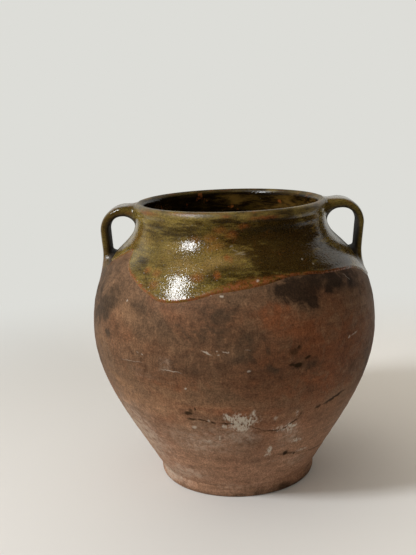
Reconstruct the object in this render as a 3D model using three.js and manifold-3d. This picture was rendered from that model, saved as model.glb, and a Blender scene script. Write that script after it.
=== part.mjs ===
import * as THREE from "three";
import { mergeVertices } from "three/addons/utils/BufferGeometryUtils.js";
import Module from "manifold-3d";

// A two-handled storage pot of thrown terracotta, in millimetres.
// +Z is up and the origin is the centre of the base. The handles stand on the X axis, and -Y is the front.
// The clay is bare up to the shoulder. A glaze covers the shoulder, the neck, the rim and the whole inside.

// Driving dimensions of the thrown clay
const potHeight = 300; // base to the top of the glazed rim
const baseRadius = 81; // flat face that the pot rests on
const footRadius = 84.4; // upright band above the base
const footHeight = 15;
const footEdgeHeight = 6; // how far up the worn bottom edge of the foot reaches
const footLedge = 1.6; // step from the foot band out to the wall
const bellyRadius = 151;
const bellyHeight = 169; // height of the widest place
const neckRadius = 100.2;
const collarHeight = 20; // narrowest place of the neck up to the crest of the clay rim
const wall = 8;
const floorThickness = 10;
const floorCorner = 16; // rounding between the floor and the wall
const rimRound = 4.6; // height of the rounded top of the rim
const rimBand = 3; // upright part of the rim below its rounding
const grooveDepth = 1.2; // line tooled under the rim band
const grooveHeight = 5;

// Driving dimensions of the glaze, and the gap that is kept between pieces
const glazeThickness = 0.6;
const seam = 0.3;

// Lower edge of the outer glaze: how far its longest drip hangs below the top of the pot,
// and round the pot the turn in degrees from the front towards the right handle, with the edge's
// share of that drip there
const glazeDrip = 84;
const glazeEdge = [
  [-90, 0.714], [-78, 0.69], [-62, 0.53], [-54, 0.679], [-41, 0.821], [-29, 0.94],
  [-18, 0.917], [-8, 0.845], [10, 0.774], [26, 0.714], [45, 0.744], [62, 0.774],
  [70, 0.833], [79, 0.94], [93, 1], [108, 0.905], [125, 0.762], [148, 0.679],
  [170, 0.738], [194, 0.845], [212, 0.905], [229, 0.833], [246, 0.738], [270, 0.714],
];

// Driving dimensions of the pulled strap handles
const strapWidth = 31;
const strapThickness = 6.4; // on the upright grip
const rootWidth = 39; // where the strap leaves the rim
const rootThickness = 11.4;
const rootTaper = 52; // length over which it thins from the rim
const rootFillet = 9; // clay worked from its underside on to the neck
const rootFilletRun = 15;
const tailWidth = 42; // lower end, smeared on to the shoulder
const tailThickness = 3.4;
const tailTaper = 32; // length over which it widens and thins
const tailFillet = 3.5; // clay worked from its inner face on to the shoulder
const tipRun = 9; // length over which the tip rounds off
const strapDropLeft = 2; // top of the pot down to the strap's top
const strapDropRight = 0;
const fingerRoomLeft = 31; // neck out to the inner face of the grip
const fingerRoomRight = 32.3;
const gripLeanLeft = 1.2; // how far the grip draws in on its way down
const gripLeanRight = 2.5;
const bendRadius = 21; // upper bend, at the middle of the strap
const gripFootRise = 14.6; // end of the grip's straight run, above where the grip would meet the wall
const tailReach = 11.4; // tip of the smeared end, below where the grip would meet the wall
const rootDepth = 4; // how far the upper end is started inside the clay
const tailSink = 0.6; // how far the middle of the tip lies under the clay's face

// How full the curves of the wall and of the strap are, as shares of their own rise and spread
const flareSpread = 0.52;
const flareRise = 0.385;
const bellyEaseBelow = 0.32;
const bellyEaseAbove = 0.75;
const neckEase = 0.26;
const tailEase = 0.45;
const tipRoundness = 0.75;

// Fineness of the faceted solids
const facets = 48;
const flareSteps = 7;
const shoulderSteps = 9;
const roundSteps = 3;
const edgeSteps = 72; // round the glaze's lower edge
const strapStations = 22;
const strapSides = 12;
const strapSquareness = 0.62; // 1 gives an elliptical section, and less a squarer one
const halvings = 30; // for the place on a curve with a given height or radius
const mergeDistance = 1e-3;

const wasm = await Module();
wasm.setup();

const { lerp, smoothstep, degToRad } = THREE.MathUtils;
const point = (radius, height) => new THREE.Vector2(radius, height);

// Heights that follow from the sizes above
const crest = potHeight - seam - glazeThickness;
const neckHeight = crest - collarHeight;
const rimShoulder = crest - rimRound;
const rimMiddle = neckRadius - wall / 2;

// The two curves of the wall's outside, from the foot ledge to the belly and on to the neck
const ledge = point(footRadius + footLedge, footHeight);
const belly = point(bellyRadius, bellyHeight);
const neck = point(neckRadius, neckHeight);
const flare = new THREE.CubicBezierCurve(
  ledge,
  point(lerp(ledge.x, belly.x, flareSpread), lerp(ledge.y, belly.y, flareRise)),
  point(belly.x, lerp(belly.y, ledge.y, bellyEaseBelow)),
  belly,
);
const shoulder = new THREE.CubicBezierCurve(
  belly,
  point(belly.x, lerp(belly.y, neck.y, bellyEaseAbove)),
  point(neck.x, lerp(neck.y, belly.y, neckEase)),
  neck,
);
const wallCurve = [...flare.getPoints(flareSteps), ...shoulder.getPoints(shoulderSteps).slice(1)];

// The last point of a curve that is still before a place, found by halving
function lastPoint(curve, isBefore) {
  let low = 0;
  let high = 1;
  for (let i = 0; i < halvings; i += 1) {
    const middle = (low + high) / 2;
    if (isBefore(curve.getPoint(middle))) low = middle;
    else high = middle;
  }
  return curve.getPoint(low);
}

const wallRadiusAt = (height) => lastPoint(height < belly.y ? flare : shoulder, (at) => at.y < height).x;
const shoulderHeightAt = (radius) => lastPoint(shoulder, (at) => at.x > radius).y;

// A line of points moved sideways, to the right of the way it runs
function offsetLine(points, distance) {
  return points.map((at, i) => {
    const before = points[Math.max(i - 1, 0)];
    const after = points[Math.min(i + 1, points.length - 1)];
    const way = after.clone().sub(before).normalize();
    return point(at.x + way.y * distance, at.y - way.x * distance);
  });
}

// The steps of a quarter ellipse that leaves its first point upright and reaches its last point level
function quarterRound(from, to) {
  return Array.from({ length: roundSteps }, (_, i) => {
    const turn = ((i + 1) / roundSteps) * (Math.PI / 2);
    return point(lerp(to.x, from.x, Math.cos(turn)), lerp(from.y, to.y, Math.sin(turn)));
  });
}

// Outside of the clay, from the edge of the base up to the crest of the rim
function outsideLine() {
  const footSide = point(footRadius, footEdgeHeight);
  const footTop = point(footRadius, footHeight - footLedge);
  const rimSide = point(neckRadius, rimShoulder);
  const bandFoot = point(neckRadius, rimShoulder - rimBand);
  const groove = point(neckRadius - grooveDepth, bandFoot.y - grooveHeight / 2);
  const collarTop = point(neckRadius, bandFoot.y - grooveHeight);
  return [
    ...quarterRound(footSide, point(baseRadius, 0)).reverse(),
    footSide,
    footTop,
    ...wallCurve,
    collarTop,
    groove,
    bandFoot,
    rimSide,
    ...quarterRound(rimSide, point(rimMiddle, crest)),
  ];
}

// Inside of the clay, from just past the crest of the rim down to the middle of the floor
function insideLine() {
  const rimSide = point(neckRadius - wall, rimShoulder);
  const overRim = quarterRound(rimSide, point(rimMiddle, crest)).reverse().slice(1);
  const down = offsetLine(wallCurve, -wall)
    .filter((at) => at.y > floorThickness + floorCorner)
    .reverse();
  const [above, last] = down.slice(-2);
  const slope = (above.x - last.x) / (above.y - last.y);
  const corner = point(last.x - slope * (last.y - floorThickness), floorThickness);
  const floorEdge = point(corner.x - floorCorner, floorThickness);
  const turn = new THREE.QuadraticBezierCurve(last, corner, floorEdge).getPoints(roundSteps);
  return [...overRim, rimSide, ...down, ...turn.slice(1), point(0, floorThickness)];
}

// The whole line of the clay's surface, and the same line moved out from the clay
const clayLine = [...outsideLine(), ...insideLine()];
const crestIndex = clayLine.findIndex((at) => at.y === crest);
const lineOffClay = (distance) => offsetLine(clayLine, distance);

// A closed surface as a solid, with its shared corners merged
function solid(geometry) {
  geometry.deleteAttribute("normal");
  geometry.deleteAttribute("uv");
  const merged = mergeVertices(geometry, mergeDistance);
  return new wasm.Manifold(
    new wasm.Mesh({
      numProp: 3,
      vertProperties: new Float32Array(merged.attributes.position.array),
      triVerts: new Uint32Array(merged.index.array),
    }),
  );
}

// A profile that starts and ends on the axis, turned about +Z
function turned(profile) {
  return solid(new THREE.LatheGeometry(profile, facets).rotateX(Math.PI / 2));
}

// A closed tube of rings, each ring a list of points with as many as the others.
// It joins its last ring to its first, or closes both ends with a flat fan.
function ringSolid(rings, joined) {
  const count = rings[0].length;
  const positions = rings.flat().flatMap((at) => at.toArray());
  const corners = [];
  const stretches = joined ? rings.length : rings.length - 1;
  for (let j = 0; j < stretches; j += 1) {
    const here = j * count;
    const next = ((j + 1) % rings.length) * count;
    for (let i = 0; i < count; i += 1) {
      const up = (i + 1) % count;
      corners.push(here + i, next + i, next + up, here + i, next + up, here + up);
    }
  }
  if (!joined) {
    const last = (rings.length - 1) * count;
    for (let i = 1; i < count - 1; i += 1) {
      corners.push(0, i, i + 1, last, last + i + 1, last + i);
    }
  }
  const geometry = new THREE.BufferGeometry();
  geometry.setAttribute("position", new THREE.Float32BufferAttribute(positions, 3));
  geometry.setIndex(corners);
  return solid(geometry);
}

// The thrown pot: floor, foot, wall, neck and rim in one
function potBody() {
  return turned([point(0, 0), ...clayLine]);
}

// The pot filled to the brim and grown by the seam, which handles are cut back to
function potWithSeam() {
  const grown = lineOffClay(seam).slice(0, crestIndex + 1);
  return turned([point(0, -seam), ...grown, point(0, crest + seam)]);
}

// Middle line of a strap as radius and height: level out of the rim, round the bend,
// down the grip, and then leaning on to the shoulder until it runs along it
function strapLine({ fingerRoom, drop, gripLean }) {
  const grip = neckRadius + fingerRoom + strapThickness / 2;
  const top = potHeight - drop - rootThickness / 2;
  const landing = shoulderHeightAt(grip);
  const gripFoot = point(grip - gripLean, landing + gripFootRise);
  const tipHeight = landing - tailReach;
  const tip = point(wallRadiusAt(tipHeight) - tailSink, tipHeight);
  const run = (gripFoot.y - tip.y) * tailEase;
  const spread = wallRadiusAt(tip.y + run) - wallRadiusAt(tip.y);
  const slope = gripLean / (top - bendRadius - gripFoot.y);
  const line = new THREE.Path();
  line.moveTo(neckRadius - rootDepth, top);
  line.lineTo(grip - bendRadius, top);
  line.absarc(grip - bendRadius, top - bendRadius, bendRadius, Math.PI / 2, 0, true);
  line.lineTo(gripFoot.x, gripFoot.y);
  line.bezierCurveTo(
    gripFoot.x - slope * run, gripFoot.y - run,
    tip.x + spread, tip.y + run,
    tip.x, tip.y,
  );
  return line;
}

// A strap from the rim to the shoulder on the side that way points to (1 right, -1 left), grown all round.
// Its section is flat and rounded. It is thick at the rim and thin where it is smeared on to the shoulder,
// and its inner face carries a fillet at both ends.
function strap(sizes, way, grow) {
  const line = strapLine(sizes);
  const length = line.getLength();
  const rings = Array.from({ length: strapStations + 1 }, (_, station) => {
    const along = station / strapStations;
    const middle = line.getPointAt(along);
    const run = line.getTangentAt(along);
    const fromRoot = along * length;
    const fromTip = length - fromRoot;
    const root = 1 - smoothstep(fromRoot, 0, rootTaper);
    const tail = 1 - smoothstep(fromTip, 0, tailTaper);
    const blunt = Math.sqrt(1 - tipRoundness * (1 - Math.min(fromTip / tipRun, 1)) ** 2);
    const width = lerp(lerp(strapWidth, rootWidth, root), tailWidth, tail) * blunt;
    const depth = lerp(lerp(strapThickness, rootThickness, root), tailThickness, tail);
    const fillet =
      rootFillet * (1 - smoothstep(fromRoot, rootDepth, rootDepth + rootFilletRun)) + tailFillet * tail;
    return Array.from({ length: strapSides }, (_, side) => {
      const turn = (side / strapSides) * 2 * Math.PI;
      const outward = Math.sin(turn) < 0;
      const across = rounded(Math.cos(turn)) * (width / 2 + grow);
      const inward = rounded(Math.sin(turn)) * (depth / 2 + grow + (outward ? 0 : fillet));
      const radius = middle.x + run.y * inward;
      return new THREE.Vector3(way * radius, way * across, middle.y - run.x * inward);
    });
  });
  return ringSolid(rings, false);
}

const leftSizes = { fingerRoom: fingerRoomLeft, drop: strapDropLeft, gripLean: gripLeanLeft };
const rightSizes = { fingerRoom: fingerRoomRight, drop: strapDropRight, gripLean: gripLeanRight };
const handleLeft = (grow) => strap(leftSizes, -1, grow);
const handleRight = (grow) => strap(rightSizes, 1, grow);

function rounded(share) {
  return Math.sign(share) * Math.abs(share) ** strapSquareness;
}

// Solid that hangs round the pot below the outer glaze's wavy edge, and is cut away from that glaze
function belowGlazeEdge() {
  const turns = glazeEdge.map(([turn]) => turn);
  const shares = glazeEdge.map(([, share]) => share);
  const edge = new THREE.CubicInterpolant(turns, shares, 1, new Float32Array(1));
  edge.settings = { endingStart: THREE.WrapAroundEnding, endingEnd: THREE.WrapAroundEnding };
  const firstTurn = turns[0];
  const innerRadius = neckRadius / 2;
  const outerRadius = bellyRadius * 2;
  const rings = Array.from({ length: edgeSteps }, (_, j) => {
    const turn = firstTurn + (j / edgeSteps) * 360;
    const top = potHeight - glazeDrip * edge.evaluate(turn)[0];
    const angle = degToRad(turn - 90);
    const at = (radius, height) =>
      new THREE.Vector3(radius * Math.cos(angle), radius * Math.sin(angle), height);
    return [at(innerRadius, 0), at(outerRadius, 0), at(outerRadius, top), at(innerRadius, top)];
  });
  return ringSolid(rings, true);
}

// Glaze over the shoulder, the neck and the outer half of the rim. It starts two steps of the wall
// below its longest drip, and is then cut along its edge. At the crest it keeps half the seam
// to the middle of the rim.
function glazeOutside() {
  const first = clayLine.findIndex((at) => at.y > potHeight - glazeDrip) - 2;
  const covers = (distance) => {
    const part = lineOffClay(distance).slice(first, crestIndex + 1);
    part[part.length - 1].x += seam / 2;
    return part;
  };
  const section = [...covers(seam + glazeThickness), ...covers(seam).reverse()];
  const rings = Array.from({ length: facets }, (_, j) => {
    const angle = (j / facets) * 2 * Math.PI;
    return section.map((at) =>
      new THREE.Vector3(at.x * Math.cos(angle), at.x * Math.sin(angle), at.y));
  });
  return ringSolid(rings, true)
    .subtract(belowGlazeEdge())
    .subtract(handleLeft(seam))
    .subtract(handleRight(seam));
}

// Glaze over the inner half of the rim, where it keeps the other half of the seam, the inner wall
// and the floor
function glazeInside() {
  const covers = (distance) => {
    const part = lineOffClay(distance).slice(crestIndex);
    part[0].x -= seam / 2;
    part[part.length - 1].x = 0;
    return part;
  };
  return turned([...covers(seam).reverse(), ...covers(seam + glazeThickness)]);
}

// Materials
const terracotta = () => material(0x6b4634, 0.85);
const oliveGlaze = () => material(0x5a4520, 0.2);
const darkGlaze = () => material(0x2a1c0a, 0.15);

function material(color, roughness) {
  return new THREE.MeshStandardMaterial({ color, roughness, metalness: 0 });
}

// A solid as a named mesh
function mesh(name, made, finish) {
  const { vertProperties, triVerts } = made.getMesh();
  const geometry = new THREE.BufferGeometry();
  geometry.setAttribute("position", new THREE.BufferAttribute(vertProperties, 3));
  geometry.setIndex(new THREE.BufferAttribute(triVerts, 1));
  geometry.computeVertexNormals();
  const named = new THREE.Mesh(geometry, finish);
  named.name = name;
  return named;
}

const pot = new THREE.Group();
const cutBack = potWithSeam();
pot.add(
  mesh("pot_body", potBody(), terracotta()),
  mesh("handle_left", handleLeft(0).subtract(cutBack), oliveGlaze()),
  mesh("handle_right", handleRight(0).subtract(cutBack), oliveGlaze()),
  mesh("glaze_outside", glazeOutside(), oliveGlaze()),
  mesh("glaze_inside", glazeInside(), darkGlaze()),
);

export default pot;
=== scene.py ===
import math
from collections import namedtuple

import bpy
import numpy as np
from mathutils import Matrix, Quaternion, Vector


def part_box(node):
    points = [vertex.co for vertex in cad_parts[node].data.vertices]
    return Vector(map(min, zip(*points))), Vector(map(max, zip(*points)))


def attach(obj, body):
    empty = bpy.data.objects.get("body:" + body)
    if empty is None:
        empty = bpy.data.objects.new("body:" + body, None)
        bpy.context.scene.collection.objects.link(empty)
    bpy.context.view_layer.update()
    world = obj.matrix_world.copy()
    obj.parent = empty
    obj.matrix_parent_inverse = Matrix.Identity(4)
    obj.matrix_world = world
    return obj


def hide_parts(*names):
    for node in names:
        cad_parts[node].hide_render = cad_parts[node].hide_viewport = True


bl_info = {
    "name": "Two-handled storage pot",
    "version": (1, 0, 0),
    "blender": (4, 5, 0),
    "location": "View3D > Sidebar > Pot",
    "description": "Models a thrown, glazed storage pot with two strap handles round its solid frame",
    "category": "Add Mesh",
}

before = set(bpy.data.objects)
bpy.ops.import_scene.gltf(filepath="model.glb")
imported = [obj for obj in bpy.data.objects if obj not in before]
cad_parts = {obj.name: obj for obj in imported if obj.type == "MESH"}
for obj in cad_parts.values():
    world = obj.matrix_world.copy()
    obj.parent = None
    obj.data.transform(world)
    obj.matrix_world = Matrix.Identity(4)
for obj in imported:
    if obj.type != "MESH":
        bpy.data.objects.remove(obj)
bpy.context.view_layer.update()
CLAY_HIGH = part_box("pot_body")[1]
GLAZE_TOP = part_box("glaze_outside")[1].z

# Everything is in metres in the frame of the solids: +Z up, -Y to the front, the base's middle at the origin

# A turn is an angle round the pot, from the front towards the right
TURN_STEPS = 384  # columns of faces round the pot
GLAZE_ROWS = 64
LINING_ROWS = 100
STRAP_SIDES = 52
STRAP_CUTS = 100  # rings along a strap, between its two ends
LANDING_ROWS = 16  # of these, in the run from the strap to the wall at either end
GLAZE_IOR = 1.52


# Settings that a user would change


def length(name, description, default):
    return bpy.props.FloatProperty(
        name=name, description=description, default=default, min=0.0, unit="LENGTH", precision=4
    )


def share(name, description, default):
    return bpy.props.FloatProperty(
        name=name, description=description, default=default, min=0.0, max=1.0, subtype="FACTOR"
    )


def colour(name, description, default):
    return bpy.props.FloatVectorProperty(
        name=name, description=description, default=default, size=3, min=0.0, max=1.0, subtype="COLOR"
    )


class PotSizes(bpy.types.PropertyGroup):
    """Sizes of the thrown clay and of the glaze on it."""

    base_radius: length("Base radius", "Flat face that the pot rests on", 0.081)
    foot_radius: length("Foot radius", "Upright band above the base", 0.0844)
    foot_height: length("Foot height", "Height of the band", 0.015)
    foot_edge: length("Foot edge", "How far up the worn bottom edge reaches", 0.006)
    foot_ledge: length("Foot ledge", "Step from the band out to the wall", 0.0016)
    foot_groove: length("Foot groove", "Depth of the line turned round the foot", 0.0005)
    belly_radius: length("Belly radius", "Widest place of the wall", CLAY_HIGH.x)
    belly_height: length("Belly height", "Height of the widest place", 0.169)
    neck_radius: length("Neck radius", "Outside of the neck", 0.1002)
    crest: length("Crest", "Top of the clay rim", CLAY_HIGH.z)
    collar_height: length("Collar height", "Narrowest place of the neck up to the crest", 0.020)
    wall: length("Wall", "Thickness of the clay", 0.008)
    floor_thickness: length("Floor", "Thickness of the floor", 0.010)
    floor_corner: length("Floor corner", "Rounding between the floor and the wall", 0.016)
    rim_round: length("Rim rounding", "Height of the rounded top of the rim", 0.0046)
    rim_band: length("Rim band", "Upright part of the rim", 0.003)
    groove_depth: length("Groove depth", "Line tooled under the rim band", 0.0008)
    groove_height: length("Groove height", "Height of that line", 0.005)
    coat: length("Glaze face", "How far the glaze stands off the clay", GLAZE_TOP - CLAY_HIGH.z)
    bead: length("Glaze bead", "Extra thickness along the glaze's lower edge", 0.0003)
    drip: length("Longest drip", "Top of the pot down to the lowest place of the glaze", 0.084)


class StrapSizes(bpy.types.PropertyGroup):
    """Sizes of the pulled strap handles."""

    width: length("Width", "Across the upright grip", 0.031)
    thickness: length("Thickness", "Of the upright grip", 0.0064)
    root_width: length("Root width", "Where the strap leaves the rim", 0.039)
    root_thickness: length("Root thickness", "Where the strap leaves the rim", 0.0114)
    root_taper: length("Root taper", "Length over which it thins from the rim", 0.052)
    tail_width: length("Tail width", "Lower end, smeared on to the shoulder", 0.042)
    tail_thickness: length("Tail thickness", "Of the lower end", 0.0034)
    tail_taper: length("Tail taper", "Length over which it widens and thins", 0.032)
    bend: length("Bend", "Radius of the upper bend", 0.021)
    grip_foot_rise: length("Grip foot", "End of the straight grip above its landing", 0.0146)
    tail_reach: length("Tail reach", "Tip of the tail below the landing", 0.0114)
    tail_free: length("Tail free", "Where the strap starts to spread, above its landing", 0.0190)
    tail_fillet: length("Tail fillet", "Top of the clay pressed into the corner, above the landing", 0.0140)
    tail_smear: length("Tail smear", "Lowest clay of the strap, below its landing", 0.0220)
    smear_width: length("Smear width", "Of the fan that the tail is smeared out to", 0.0560)
    glaze: length("Glaze", "How thick the glaze is on the strap", 0.0005)
    tail_sink: length("Tail sink", "Middle of the tip under the clay's face", 0.0006)
    root_depth: length("Root depth", "How far the upper end starts inside the clay", 0.004)
    extra_left: length("Left extra", "How much thicker the left grip is", 0.0018)
    drop_left: length("Left drop", "Top of the pot down to the left strap's top", 0.002)
    drop_right: length("Right drop", "Top of the pot down to the right strap's top", 0.0)
    room_left: length("Left finger room", "Neck out to the left grip", 0.031)
    room_right: length("Right finger room", "Neck out to the right grip", 0.0323)
    lean_left: length("Left lean", "How far the left grip draws in on its way down", 0.0012)
    lean_right: length("Right lean", "How far the right grip draws in on its way down", 0.0025)


class PotColours(bpy.types.PropertyGroup):
    """Colours of the fired clay and of the glaze."""

    clay: colour("Clay", "Bare clay", (0.139, 0.0775, 0.0418))
    clay_red: colour("Red clay", "Redder places of the clay", (0.180, 0.0645, 0.0265))
    clay_tan: colour("Tan clay", "Places fired lighter", (0.232, 0.1260, 0.0655))
    clay_pale: colour("Pale clay", "Clay towards the foot", (0.388, 0.216, 0.134))
    # also the colour of the painted shade along the foot's lower edge
    smoke: colour("Smoke", "Grey places marked by smoke", (0.062, 0.0374, 0.0212))
    # also painted shade on the straps' inner faces and tail creases
    soot_and_shade: colour("Soot", "Darkest stains and chips", (0.016, 0.009, 0.005))
    # also the pale colour of the painted glints on the glaze
    lime: colour("Lime", "Pale limescale", (0.500, 0.440, 0.360))
    olive: colour("Olive", "Glaze where it is thick and light", (0.188, 0.134, 0.031))
    # also painted shade in the band under the rim
    moss: colour("Dark olive", "Glaze where it pools", (0.024, 0.014, 0.0020))
    amber: colour("Amber", "Glaze where it runs brown", (0.120, 0.066, 0.014))
    # also painted sheen beside the window's reflection on the glaze
    straw: colour("Straw", "Glaze where it is lightest", (0.300, 0.196, 0.066))
    # painted shade on the glaze's right side and under its rim; also the colour of chips in the clay
    umber: colour("Umber", "Glaze on the shaded side", (0.0245, 0.0115, 0.0018))
    rust: colour("Rust", "Glaze where it is thin over the clay", (0.205, 0.061, 0.014))
    # near black: dark glaze, and painted shade inside the pot
    lining: colour("Lining", "Glaze inside the pot", (0.005, 0.0025, 0.001))


class StageSettings(bpy.types.PropertyGroup):
    """The floor, the backdrop, the light and the camera."""

    floor_colour: colour("Floor", "Pale floor", (0.715, 0.705, 0.680))
    wall_colour: colour("Backdrop", "Pale backdrop", (0.723, 0.723, 0.687))
    stage_radius: length("Stage radius", "Reach of the floor and the backdrop", 1.5)
    backdrop_turn: bpy.props.FloatProperty(
        name="Backdrop turn", description="Turn in degrees at which the backdrop starts", default=117.0
    )
    window_power: bpy.props.FloatProperty(
        name="Window", description="Power of the window light", default=16.0, min=0.0, unit="POWER"
    )
    window_width: length("Window width", "Width of the window light", 0.30)
    window_height: length("Window height", "Height of the window light", 0.95)
    window_distance: length("Window distance", "From the pot to the window light", 1.5)
    fill: share("Fill", "Strength of the soft light from above", 0.9)
    fill_colour: colour("Fill colour", "Colour of the soft light", (1.0, 0.90, 0.78))
    window_colour: colour("Window colour", "Colour of the window light", (0.94, 0.97, 1.0))
    lens: bpy.props.FloatProperty(
        name="Lens", description="Focal length in mm on a 36 mm sensor", default=54.03, min=1.0
    )


# The line of the wall


def between(low, high, amount):
    return low + (high - low) * amount


def smooth(value, low, high):
    """0 at low and 1 at high, easing at both."""
    part = np.clip((np.asarray(value, float) - low) / (high - low), 0.0, 1.0)
    return part * part * (3.0 - 2.0 * part)


def cubic(first, second, third, last, along):
    """A place on a cubic curve, at a share of the way along it."""
    rest = 1.0 - along
    return rest**3 * first + 3.0 * rest**2 * along * second + 3.0 * rest * along**2 * third + along**3 * last


def bezier(corners, steps):
    """Points of a cubic curve, without its first."""
    corners = [np.asarray(corner, float) for corner in corners]
    return cubic(*corners, np.linspace(0.0, 1.0, steps + 1)[1:, None])


def straight(start, end, steps):
    along = np.linspace(0.0, 1.0, steps + 1)[1:, None]
    return between(np.asarray(start, float), np.asarray(end, float), along)


def quarter_round(start, end, steps):
    """A quarter ellipse that leaves its start upright and reaches its end level, without its start."""
    turn = np.linspace(0.0, math.pi / 2, steps + 1)[1:]
    return np.stack(
        [between(end[0], start[0], np.cos(turn)), between(start[1], end[1], np.sin(turn))], axis=1
    )


def line_normals(points):
    """Unit normals to the right of the way that a line of points runs."""
    way = np.gradient(points, axis=0)
    way /= np.linalg.norm(way, axis=1)[:, None]
    return np.stack([way[:, 1], -way[:, 0]], axis=1)


def lengths_along(points):
    """Lengths from the first of a line of points to each of them."""
    return np.concatenate([[0.0], np.cumsum(np.linalg.norm(np.diff(points, axis=0), axis=1))])


def press_groove(line, start, height, depth):
    """Presses a rounded groove into a line of points, up from a start, or down if its height is negative."""
    part = np.clip((line[:, 1] - start) / height, 0.0, 1.0)
    line[:, 0] -= depth * (1.0 - np.cos(2.0 * math.pi * part)) / 2.0


def hump(value, middle, reach):
    """1 at the middle, easing to 0 on both sides."""
    return np.exp(-(((value - middle) / reach) ** 2))


class Wall:
    """The line of the clay's surface as radius and height, from the middle of the base up the outside,
    over the rim and down to the middle of the floor, and the reach along it."""

    FLARE = (0.52, 0.385, 0.32)  # spread and rise of the first handle, and ease of the second
    SHOULDER = (0.75, 0.26)  # ease at the belly and at the neck
    FLOOR_EASE = 2 / 3  # of the turn between the wall and the floor

    def __init__(self, sizes):
        ledge = (sizes.foot_radius + sizes.foot_ledge, sizes.foot_height)
        belly = (sizes.belly_radius, sizes.belly_height)
        neck = (sizes.neck_radius, sizes.crest - sizes.collar_height)
        spread, rise, ease = self.FLARE
        off_ledge = (between(ledge[0], belly[0], spread), between(ledge[1], belly[1], rise))
        flare = bezier((ledge, off_ledge, (belly[0], between(belly[1], ledge[1], ease)), belly), steps=80)
        over_belly = (belly[0], between(belly[1], neck[1], self.SHOULDER[0]))
        under_neck = (neck[0], between(neck[1], belly[1], self.SHOULDER[1]))
        shoulder = bezier((belly, over_belly, under_neck, neck), steps=56)

        foot_side = (sizes.foot_radius, sizes.foot_edge)
        foot_top = (sizes.foot_radius, sizes.foot_height - sizes.foot_ledge)
        foot_round = quarter_round(foot_side, (sizes.base_radius, 0.0), steps=4)[::-1]
        foot_band = straight(foot_side, foot_top, steps=10)
        press_groove(foot_band, sizes.foot_edge, sizes.groove_height, sizes.foot_groove)
        base = (np.zeros((1, 2)), straight((0.0, 0.0), foot_round[0], steps=5))
        foot = (foot_round[1:], [foot_side], foot_band, straight(foot_top, ledge, steps=2))

        rim_foot = sizes.crest - sizes.rim_round
        rim_side = (sizes.neck_radius, rim_foot)
        crest = (sizes.neck_radius - sizes.wall / 2, sizes.crest)
        collar = straight(neck, rim_side, steps=13)
        press_groove(collar, rim_foot - sizes.rim_band, -sizes.groove_height, sizes.groove_depth)
        rim = quarter_round(rim_side, crest, steps=7)
        outside = np.concatenate([*base, *foot, flare, shoulder, collar, rim])

        inner_side = (sizes.neck_radius - sizes.wall, rim_foot)
        over_rim = quarter_round(inner_side, crest, steps=7)[::-1][1:]
        curve = np.concatenate([[ledge], flare, shoulder])
        inner = (curve - line_normals(curve) * sizes.wall)[::-3]
        inner = inner[inner[:, 1] > sizes.floor_thickness + sizes.floor_corner]
        last = inner[-1]
        slope = (inner[-2, 0] - last[0]) / (inner[-2, 1] - last[1])
        corner = np.array([last[0] - slope * (last[1] - sizes.floor_thickness), sizes.floor_thickness])
        floor_edge = corner - [sizes.floor_corner, 0.0]
        eases = [between(end, corner, self.FLOOR_EASE) for end in (last, floor_edge)]
        floor_turn = bezier((last, *eases, floor_edge), steps=6)
        collar_inside = straight(inner_side, inner[0], steps=5)[:-1]
        floor = straight(floor_edge, (0.0, sizes.floor_thickness), steps=8)
        inside = (over_rim, [inner_side], collar_inside, inner, floor_turn, floor)

        self.points = np.concatenate([outside, *inside])
        self.normals = line_normals(self.points)
        self.reach = lengths_along(self.points)
        self.crest = self.reach[len(outside) - 1]
        self.end = self.reach[-1]
        self.top = self.points[:, 1].max()
        self.outside = slice(0, len(outside))

    def at(self, reach):
        """Radius, height and outward normal at a reach along the line."""
        lines = (*self.points.T, *self.normals.T)
        return [np.interp(reach, self.reach, line) for line in lines]

    def reach_of(self, height):
        """Reach of a height on the outside."""
        return np.interp(height, self.points[self.outside, 1], self.reach[self.outside])

    def height_of(self, radius):
        """Height on the shoulder at which the outside has a radius."""
        points = self.points[self.outside]
        shoulder = points[np.argmax(points[:, 0]) :][::-1]
        return np.interp(radius, shoulder[:, 0], shoulder[:, 1])


# What the potter's hands leave


def waves(turn, height, seed, count, most_round, pitch, amount):
    """A smooth uneven field round the pot, which closes on itself."""
    draw = np.random.default_rng(seed)
    total = np.zeros(np.broadcast(turn, height).shape)
    for _ in range(count):
        around = draw.integers(0, most_round + 1) * draw.choice([-1, 1])
        upward = 2.0 * math.pi / pitch * draw.uniform(0.6, 1.4)
        total += np.sin(around * turn + upward * height + draw.uniform(0.0, 2.0 * math.pi))
    return amount * total / math.sqrt(count)


# A stain or wound on the wall, or a place of painted shade or glint: its middle, half sizes, how strongly it
# shows and its tilt
Mark = namedtuple("Mark", "turn height half_width half_height strength tilt", defaults=(1.0, 0.0))
STROKE_RADIUS = 0.14  # about how far the wall under a stroke is from the axis
MILLI = 1000  # millimetres in a metre


def spots(*rows):
    """Marks from rows of turn, height, half width and half height, and where it isn't 1 and 0, strength and
    tilt. Turns and tilts are in degrees, and the other sizes in millimetres."""
    return [Mark(turn, *(size / MILLI for size in rest[:3]), *rest[3:]) for turn, *rest in rows]


def strokes(*rows):
    """Thin straight marks from rows of the turn and height of both ends, half width and strength."""
    drawn = []
    for turn, height, end_turn, end_height, half_width, strength in rows:
        across = math.radians(end_turn - turn) * STROKE_RADIUS
        up = (end_height - height) / MILLI
        middle = ((turn + end_turn) / 2, (height + end_height) / 2 / MILLI)
        tilt = math.degrees(math.atan2(up, across))
        drawn.append(Mark(*middle, math.hypot(across, up) / 2, half_width / MILLI, strength, tilt))
    return drawn


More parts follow.
